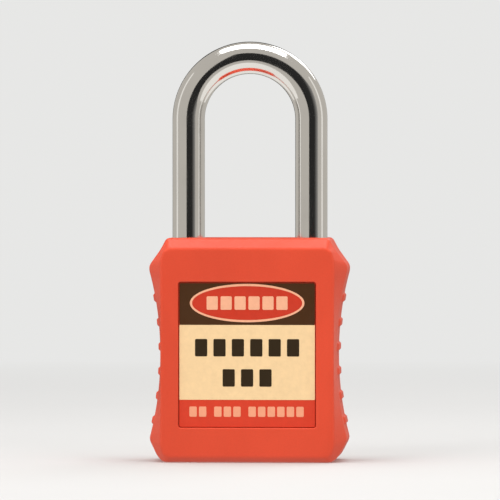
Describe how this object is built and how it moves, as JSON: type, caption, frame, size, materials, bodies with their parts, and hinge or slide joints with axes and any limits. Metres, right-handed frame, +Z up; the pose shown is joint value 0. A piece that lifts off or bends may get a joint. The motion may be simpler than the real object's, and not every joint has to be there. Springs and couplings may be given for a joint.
{
  "type": "safety padlock",
  "caption": "Lockout padlock: waisted moulded nylon body with ribbed sides and label recesses, chromed steel shackle that lifts on its heel leg, and a pin cylinder worked from below.",
  "frame": {"origin": "Middle of the flat base that the body stands on.", "axes": "+Z up along the shackle, -Y out of the front label, +X to the right seen from the front (towards the short toe leg)."},
  "size_m": [0.04, 0.02, 0.0846],
  "materials": {
    "red_nylon": "red moulded nylon, satin",
    "label_print": "printed plastic plate: dark header, cream panel, red strip",
    "chrome": "bright chrome plate on hardened steel",
    "steel": "machined steel",
    "ball_steel": "polished hardened steel",
    "spring_steel": "drawn spring wire and strip",
    "brass": "turned brass",
    "plug_brass": "turned brass, nickel-washed face"
  },
  "bodies": {
    "body": {"body_shell": "red_nylon", "bottom_cover": "red_nylon", "cover_pin_left": "steel", "cover_pin_right": "steel", "front_label": "label_print", "back_label": "label_print", "shackle_spring": "spring_steel", "shackle_retaining_pin": "steel", "locking_block": "steel", "cylinder_housing": "brass", "chamber_cover": "brass", "pin_spring_1": "spring_steel", "pin_spring_2": "spring_steel", "pin_spring_3": "spring_steel", "pin_spring_4": "spring_steel", "pin_spring_5": "spring_steel", "pin_spring_6": "spring_steel"},
    "shackle": {"shackle": "chrome", "spring_follower": "steel"},
    "plug": {"cylinder_plug": "plug_brass", "plug_retaining_clip": "spring_steel"},
    "rotor": {"locking_rotor": "steel"},
    "ball_toe": {"ball_toe": "ball_steel"},
    "ball_heel": {"ball_heel": "ball_steel"},
    "key_pin_1": {"key_pin_1": "brass"},
    "driver_pin_1": {"driver_pin_1": "steel"},
    "key_pin_2": {"key_pin_2": "brass"},
    "driver_pin_2": {"driver_pin_2": "steel"},
    "key_pin_3": {"key_pin_3": "brass"},
    "driver_pin_3": {"driver_pin_3": "steel"},
    "key_pin_4": {"key_pin_4": "brass"},
    "driver_pin_4": {"driver_pin_4": "steel"},
    "key_pin_5": {"key_pin_5": "brass"},
    "driver_pin_5": {"driver_pin_5": "steel"},
    "key_pin_6": {"key_pin_6": "brass"},
    "driver_pin_6": {"driver_pin_6": "steel"}
  },
  "joints": [
    {"name": "shackle_lift", "type": "slide", "parent": "body", "child": "shackle", "axis": [0, 0, 1], "range_m": [0, 0.012], "deforming": ["shackle_spring"]},
    {"name": "key_turn", "type": "hinge", "parent": "body", "child": "plug", "pos_m": [0, 0, 0.0141], "axis": [0, 0, 1], "range_deg": [0, 90]},
    {"name": "rotor_turn", "type": "hinge", "parent": "body", "child": "rotor", "pos_m": [0, 0, 0.0379], "axis": [0, 0, 1], "range_deg": [0, 90]},
    {"name": "ball_toe_slide", "type": "slide", "parent": "body", "child": "ball_toe", "axis": [1, 0, 0], "range_m": [0, 0.0014]},
    {"name": "ball_heel_slide", "type": "slide", "parent": "body", "child": "ball_heel", "axis": [-1, 0, 0], "range_m": [0, 0.0014]},
    {"name": "key_pin_1_slide", "type": "slide", "parent": "plug", "child": "key_pin_1", "axis": [0, 1, 0], "range_m": [0, 0.001]},
    {"name": "key_pin_2_slide", "type": "slide", "parent": "plug", "child": "key_pin_2", "axis": [0, 1, 0], "range_m": [0, 0.001]},
    {"name": "key_pin_3_slide", "type": "slide", "parent": "plug", "child": "key_pin_3", "axis": [0, 1, 0], "range_m": [0, 0.001]},
    {"name": "key_pin_4_slide", "type": "slide", "parent": "plug", "child": "key_pin_4", "axis": [0, 1, 0], "range_m": [0, 0.001]},
    {"name": "key_pin_5_slide", "type": "slide", "parent": "plug", "child": "key_pin_5", "axis": [0, 1, 0], "range_m": [0, 0.001]},
    {"name": "key_pin_6_slide", "type": "slide", "parent": "plug", "child": "key_pin_6", "axis": [0, 1, 0], "range_m": [0, 0.001]},
    {"name": "driver_pin_1_slide", "type": "slide", "parent": "body", "child": "driver_pin_1", "axis": [1, 0, 0], "range_m": [0, 0.0012], "stiffness_N_per_m": 250, "deforming": ["pin_spring_1"]},
    {"name": "driver_pin_2_slide", "type": "slide", "parent": "body", "child": "driver_pin_2", "axis": [1, 0, 0], "range_m": [0, 0.0012], "stiffness_N_per_m": 250, "deforming": ["pin_spring_2"]},
    {"name": "driver_pin_3_slide", "type": "slide", "parent": "body", "child": "driver_pin_3", "axis": [1, 0, 0], "range_m": [0, 0.0012], "stiffness_N_per_m": 250, "deforming": ["pin_spring_3"]},
    {"name": "driver_pin_4_slide", "type": "slide", "parent": "body", "child": "driver_pin_4", "axis": [1, 0, 0], "range_m": [0, 0.0012], "stiffness_N_per_m": 250, "deforming": ["pin_spring_4"]},
    {"name": "driver_pin_5_slide", "type": "slide", "parent": "body", "child": "driver_pin_5", "axis": [1, 0, 0], "range_m": [0, 0.0012], "stiffness_N_per_m": 250, "deforming": ["pin_spring_5"]},
    {"name": "driver_pin_6_slide", "type": "slide", "parent": "body", "child": "driver_pin_6", "axis": [1, 0, 0], "range_m": [0, 0.0012], "stiffness_N_per_m": 250, "deforming": ["pin_spring_6"]}
  ],
  "couplings": [
    {"joint": "rotor_turn", "follows": "key_turn", "ratio": 1},
    {"joint": "ball_toe_slide", "follows": "key_turn", "m_per_rad": 0.00085944},
    {"joint": "ball_heel_slide", "follows": "key_turn", "m_per_rad": 0.00085944}
  ]
}
